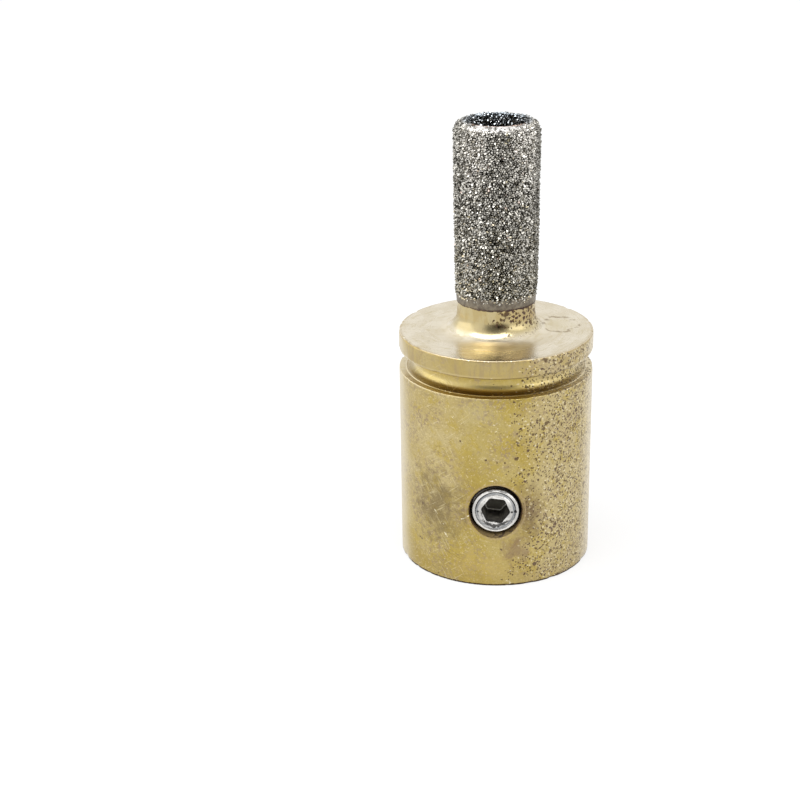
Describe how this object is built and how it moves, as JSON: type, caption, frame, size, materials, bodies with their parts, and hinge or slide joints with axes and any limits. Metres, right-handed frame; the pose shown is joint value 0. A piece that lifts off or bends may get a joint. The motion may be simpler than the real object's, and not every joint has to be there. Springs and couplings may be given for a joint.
{
  "type": "glass grinder bit",
  "caption": "Hollow diamond-plated grinding tube on a grooved and flanged brass hub, with a bore for the grinder's shaft and a hex-socket clamp screw.",
  "frame": {"origin": "centre of the hub's flat base", "axes": "+Z along the bore and the tube towards the open tip; the clamp screw faces -Y"},
  "size_m": [0.0158, 0.0158, 0.0368],
  "materials": {
    "brass": "turned, satin, lightly tarnished and pitted",
    "diamond_grit": "coarse diamond grit held in electroplated nickel",
    "screw_steel": "plain turned steel"
  },
  "bodies": {
    "bit": {"brass_body": "brass", "diamond_coat": "diamond_grit"},
    "screw": {"set_screw": "screw_steel"}
  },
  "joints": [
    {"name": "set_screw_travel", "type": "slide", "parent": "bit", "child": "screw", "axis": [0, 1, 0], "range_m": [-0.0014, 0.0009]}
  ]
}
